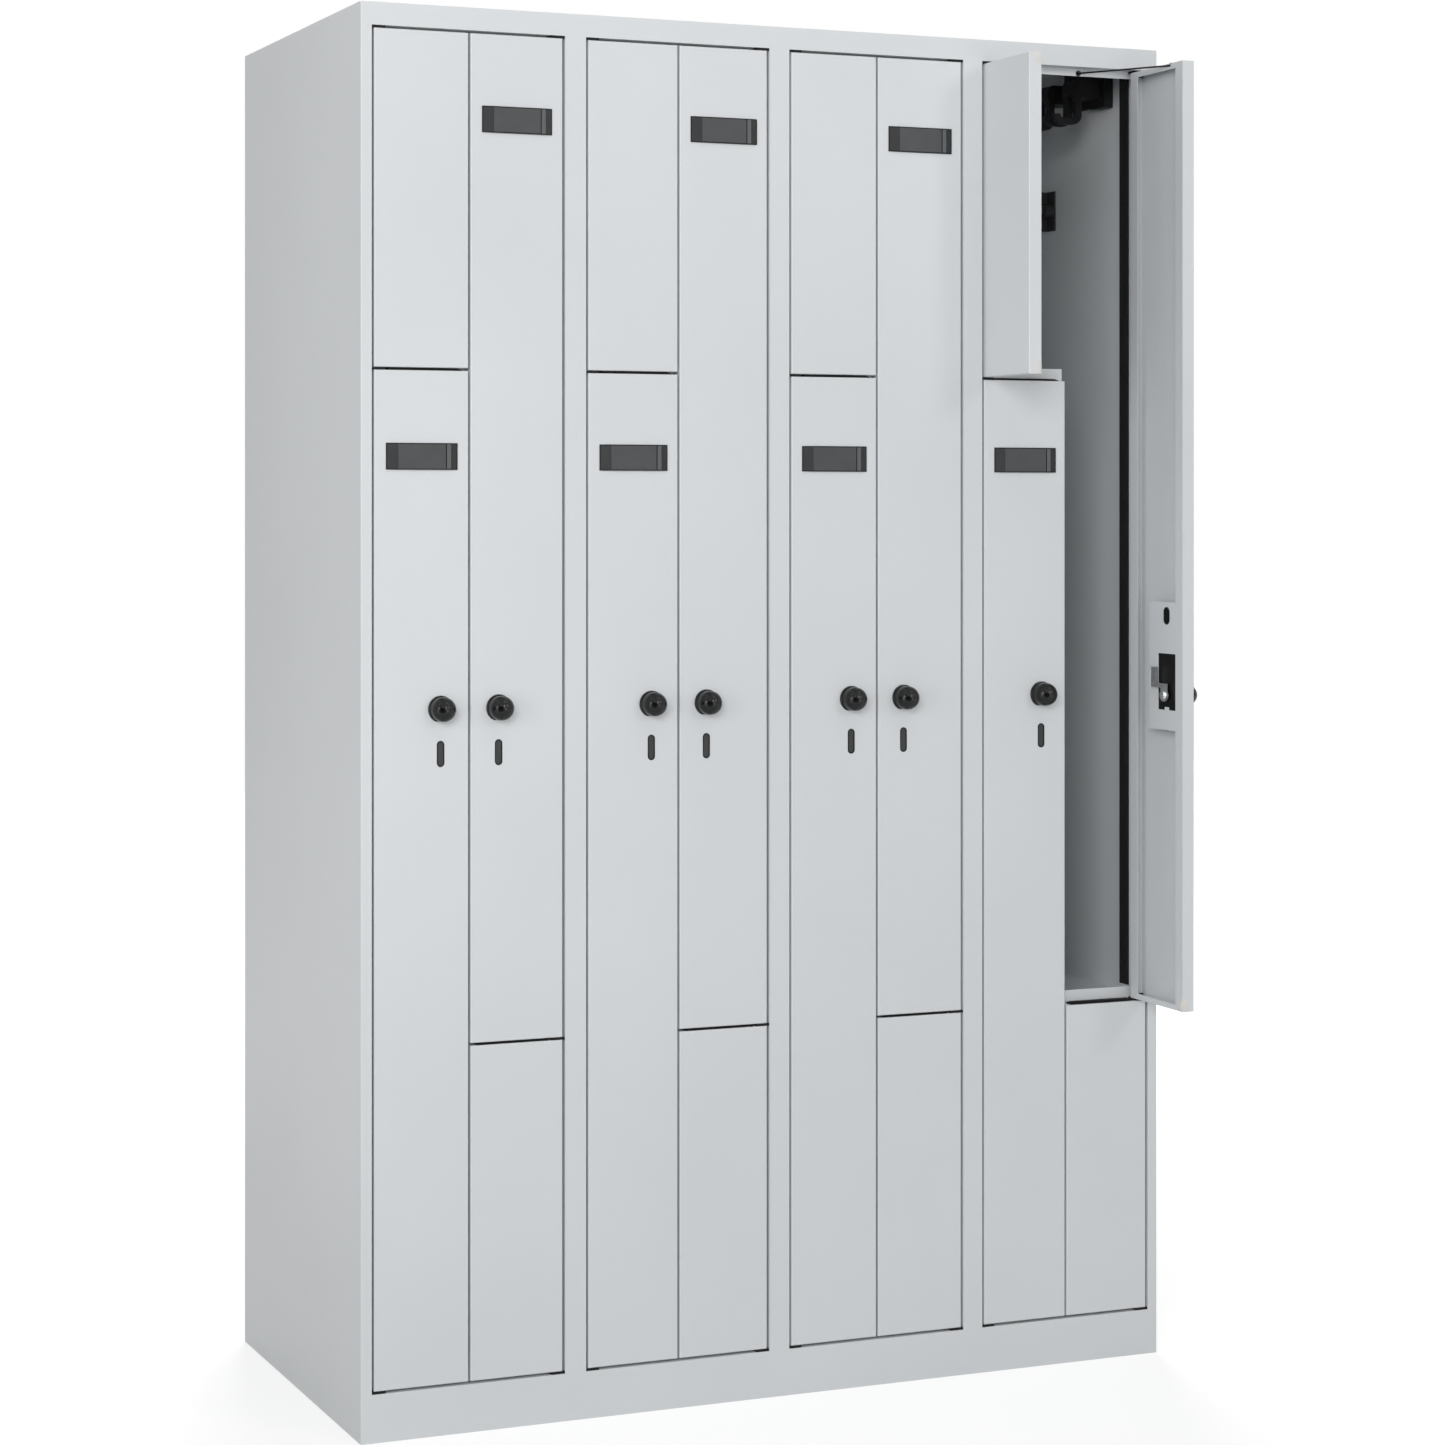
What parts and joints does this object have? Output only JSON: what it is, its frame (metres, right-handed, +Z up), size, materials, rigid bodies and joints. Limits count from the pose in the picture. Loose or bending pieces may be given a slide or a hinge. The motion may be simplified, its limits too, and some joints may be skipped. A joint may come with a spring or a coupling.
{
  "type": "z locker",
  "caption": "Nest of full-height steel lockers with interlocking Z-shaped compartments, each locker closed by a tall leaf with a rotary latch and a small leaf.",
  "frame": {"origin": "on the floor, under the middle of the cabinet's width and depth", "axes": "+X to the right seen from the front, +Y from the front to the back, +Z up"},
  "size_m": [1.2065, 0.6214, 1.85],
  "materials": {
    "coat": "light grey powder coat, satin",
    "plastic": "black moulded plastic, matt",
    "knob": "charcoal moulded plastic, satin",
    "steel": "zinc-plated steel, satin",
    "black_steel": "black coated steel, satin"
  },
  "bodies": {
    "cabinet": {"front_frame": "coat", "side_panel_left": "coat", "side_panel_right": "coat", "back_panel": "coat", "roof_panel": "coat", "partition_walls": "coat", "plinth_base": "coat", "levelling_feet": "steel", "hinge_bushes": "plastic", "jamb_strips": "plastic", "coat_hooks": "plastic", "coat_rails": "black_steel", "z_divider_1": "coat", "z_divider_2": "coat", "z_divider_3": "coat", "z_divider_4": "coat"},
    "small_upper_1": {"small_leaf_upper_1": "coat"},
    "small_lower_1": {"small_leaf_lower_1": "coat"},
    "tall_left_1": {"tall_leaf_left_1": "coat", "fittings_left_1": "plastic"},
    "tall_right_1": {"tall_leaf_right_1": "coat", "fittings_right_1": "plastic"},
    "latch_left_1": {"knob_left_1": "knob", "cam_left_1": "steel"},
    "latch_right_1": {"knob_right_1": "knob", "cam_right_1": "steel"},
    "stay_1": {"stay_rod_1": "black_steel"},
    "small_upper_2": {"small_leaf_upper_2": "coat"},
    "small_lower_2": {"small_leaf_lower_2": "coat"},
    "tall_left_2": {"tall_leaf_left_2": "coat", "fittings_left_2": "plastic"},
    "tall_right_2": {"tall_leaf_right_2": "coat", "fittings_right_2": "plastic"},
    "latch_left_2": {"knob_left_2": "knob", "cam_left_2": "steel"},
    "latch_right_2": {"knob_right_2": "knob", "cam_right_2": "steel"},
    "stay_2": {"stay_rod_2": "black_steel"},
    "small_upper_3": {"small_leaf_upper_3": "coat"},
    "small_lower_3": {"small_leaf_lower_3": "coat"},
    "tall_left_3": {"tall_leaf_left_3": "coat", "fittings_left_3": "plastic"},
    "tall_right_3": {"tall_leaf_right_3": "coat", "fittings_right_3": "plastic"},
    "latch_left_3": {"knob_left_3": "knob", "cam_left_3": "steel"},
    "latch_right_3": {"knob_right_3": "knob", "cam_right_3": "steel"},
    "stay_3": {"stay_rod_3": "black_steel"},
    "small_upper_4": {"small_leaf_upper_4": "coat"},
    "small_lower_4": {"small_leaf_lower_4": "coat"},
    "tall_left_4": {"tall_leaf_left_4": "coat", "fittings_left_4": "plastic"},
    "tall_right_4": {"tall_leaf_right_4": "coat", "fittings_right_4": "plastic"},
    "latch_left_4": {"knob_left_4": "knob", "cam_left_4": "steel"},
    "latch_right_4": {"knob_right_4": "knob", "cam_right_4": "steel"},
    "stay_4": {"stay_rod_4": "black_steel"}
  },
  "joints": [
    {"name": "small_upper_1_hinge", "type": "hinge", "parent": "cabinet", "child": "small_upper_1", "pos_m": [-0.577, -0.2455, 1.59925], "axis": [0, 0, -1], "range_deg": [0, 92]},
    {"name": "small_lower_1_hinge", "type": "hinge", "parent": "cabinet", "child": "small_lower_1", "pos_m": [-0.323, -0.2455, 0.28375], "axis": [0, 0, 1], "range_deg": [0, 92]},
    {"name": "tall_left_1_hinge", "type": "hinge", "parent": "cabinet", "child": "tall_left_1", "pos_m": [-0.577, -0.2455, 0.722], "axis": [0, 0, -1], "range_deg": [0, 88]},
    {"name": "tall_right_1_hinge", "type": "hinge", "parent": "cabinet", "child": "tall_right_1", "pos_m": [-0.323, -0.2455, 1.161], "axis": [0, 0, 1], "range_deg": [0, 83]},
    {"name": "latch_left_1_turn", "type": "hinge", "parent": "tall_left_1", "child": "latch_left_1", "pos_m": [-0.4905, -0.25, 0.94], "axis": [0, 1, 0], "range_deg": [0, 90]},
    {"name": "latch_right_1_turn", "type": "hinge", "parent": "tall_right_1", "child": "latch_right_1", "pos_m": [-0.4095, -0.25, 0.94], "axis": [0, -1, 0], "range_deg": [0, 90]},
    {"name": "stay_1_swing", "type": "hinge", "parent": "tall_right_1", "child": "stay_1", "pos_m": [-0.4175, -0.2342, 1.817], "axis": [0, 0, 1], "range_deg": [-41.5, 0]},
    {"name": "small_upper_2_hinge", "type": "hinge", "parent": "cabinet", "child": "small_upper_2", "pos_m": [-0.277, -0.2455, 1.59925], "axis": [0, 0, -1], "range_deg": [0, 92]},
    {"name": "small_lower_2_hinge", "type": "hinge", "parent": "cabinet", "child": "small_lower_2", "pos_m": [-0.023, -0.2455, 0.28375], "axis": [0, 0, 1], "range_deg": [0, 92]},
    {"name": "tall_left_2_hinge", "type": "hinge", "parent": "cabinet", "child": "tall_left_2", "pos_m": [-0.277, -0.2455, 0.722], "axis": [0, 0, -1], "range_deg": [0, 83]},
    {"name": "tall_right_2_hinge", "type": "hinge", "parent": "cabinet", "child": "tall_right_2", "pos_m": [-0.023, -0.2455, 1.161], "axis": [0, 0, 1], "range_deg": [0, 83]},
    {"name": "latch_left_2_turn", "type": "hinge", "parent": "tall_left_2", "child": "latch_left_2", "pos_m": [-0.1905, -0.25, 0.94], "axis": [0, 1, 0], "range_deg": [0, 90]},
    {"name": "latch_right_2_turn", "type": "hinge", "parent": "tall_right_2", "child": "latch_right_2", "pos_m": [-0.1095, -0.25, 0.94], "axis": [0, -1, 0], "range_deg": [0, 90]},
    {"name": "stay_2_swing", "type": "hinge", "parent": "tall_right_2", "child": "stay_2", "pos_m": [-0.1175, -0.2342, 1.817], "axis": [0, 0, 1], "range_deg": [-41.5, 0]},
    {"name": "small_upper_3_hinge", "type": "hinge", "parent": "cabinet", "child": "small_upper_3", "pos_m": [0.023, -0.2455, 1.59925], "axis": [0, 0, -1], "range_deg": [0, 92]},
    {"name": "small_lower_3_hinge", "type": "hinge", "parent": "cabinet", "child": "small_lower_3", "pos_m": [0.277, -0.2455, 0.28375], "axis": [0, 0, 1], "range_deg": [0, 92]},
    {"name": "tall_left_3_hinge", "type": "hinge", "parent": "cabinet", "child": "tall_left_3", "pos_m": [0.023, -0.2455, 0.722], "axis": [0, 0, -1], "range_deg": [0, 83]},
    {"name": "tall_right_3_hinge", "type": "hinge", "parent": "cabinet", "child": "tall_right_3", "pos_m": [0.277, -0.2455, 1.161], "axis": [0, 0, 1], "range_deg": [0, 83]},
    {"name": "latch_left_3_turn", "type": "hinge", "parent": "tall_left_3", "child": "latch_left_3", "pos_m": [0.1095, -0.25, 0.94], "axis": [0, 1, 0], "range_deg": [0, 90]},
    {"name": "latch_right_3_turn", "type": "hinge", "parent": "tall_right_3", "child": "latch_right_3", "pos_m": [0.1905, -0.25, 0.94], "axis": [0, -1, 0], "range_deg": [0, 90]},
    {"name": "stay_3_swing", "type": "hinge", "parent": "tall_right_3", "child": "stay_3", "pos_m": [0.1825, -0.2342, 1.817], "axis": [0, 0, 1], "range_deg": [-41.5, 0]},
    {"name": "small_upper_4_hinge", "type": "hinge", "parent": "cabinet", "child": "small_upper_4", "pos_m": [0.323, -0.2455, 1.59925], "axis": [0, 0, -1], "range_deg": [-92, 0]},
    {"name": "small_lower_4_hinge", "type": "hinge", "parent": "cabinet", "child": "small_lower_4", "pos_m": [0.577, -0.2455, 0.28375], "axis": [0, 0, 1], "range_deg": [0, 92]},
    {"name": "tall_left_4_hinge", "type": "hinge", "parent": "cabinet", "child": "tall_left_4", "pos_m": [0.323, -0.2455, 0.722], "axis": [0, 0, -1], "range_deg": [0, 83]},
    {"name": "tall_right_4_hinge", "type": "hinge", "parent": "cabinet", "child": "tall_right_4", "pos_m": [0.577, -0.2455, 1.161], "axis": [0, 0, 1], "range_deg": [-88, 0]},
    {"name": "latch_left_4_turn", "type": "hinge", "parent": "tall_left_4", "child": "latch_left_4", "pos_m": [0.4095, -0.25, 0.94], "axis": [0, 1, 0], "range_deg": [0, 90]},
    {"name": "latch_right_4_turn", "type": "hinge", "parent": "tall_right_4", "child": "latch_right_4", "pos_m": [0.57848, -0.3321, 0.94], "axis": [0.9994, -0.0349, 0], "range_deg": [0, 90]},
    {"name": "stay_4_swing", "type": "hinge", "parent": "tall_right_4", "child": "stay_4", "pos_m": [0.56241, -0.33955, 1.817], "axis": [0, 0, 1], "range_deg": [0, 44]}
  ],
  "couplings": [
    {"joint": "stay_1_swing", "follows": "tall_right_1_hinge", "ratio": -0.5},
    {"joint": "stay_2_swing", "follows": "tall_right_2_hinge", "ratio": -0.5},
    {"joint": "stay_3_swing", "follows": "tall_right_3_hinge", "ratio": -0.5},
    {"joint": "stay_4_swing", "follows": "tall_right_4_hinge", "ratio": -0.5}
  ]
}
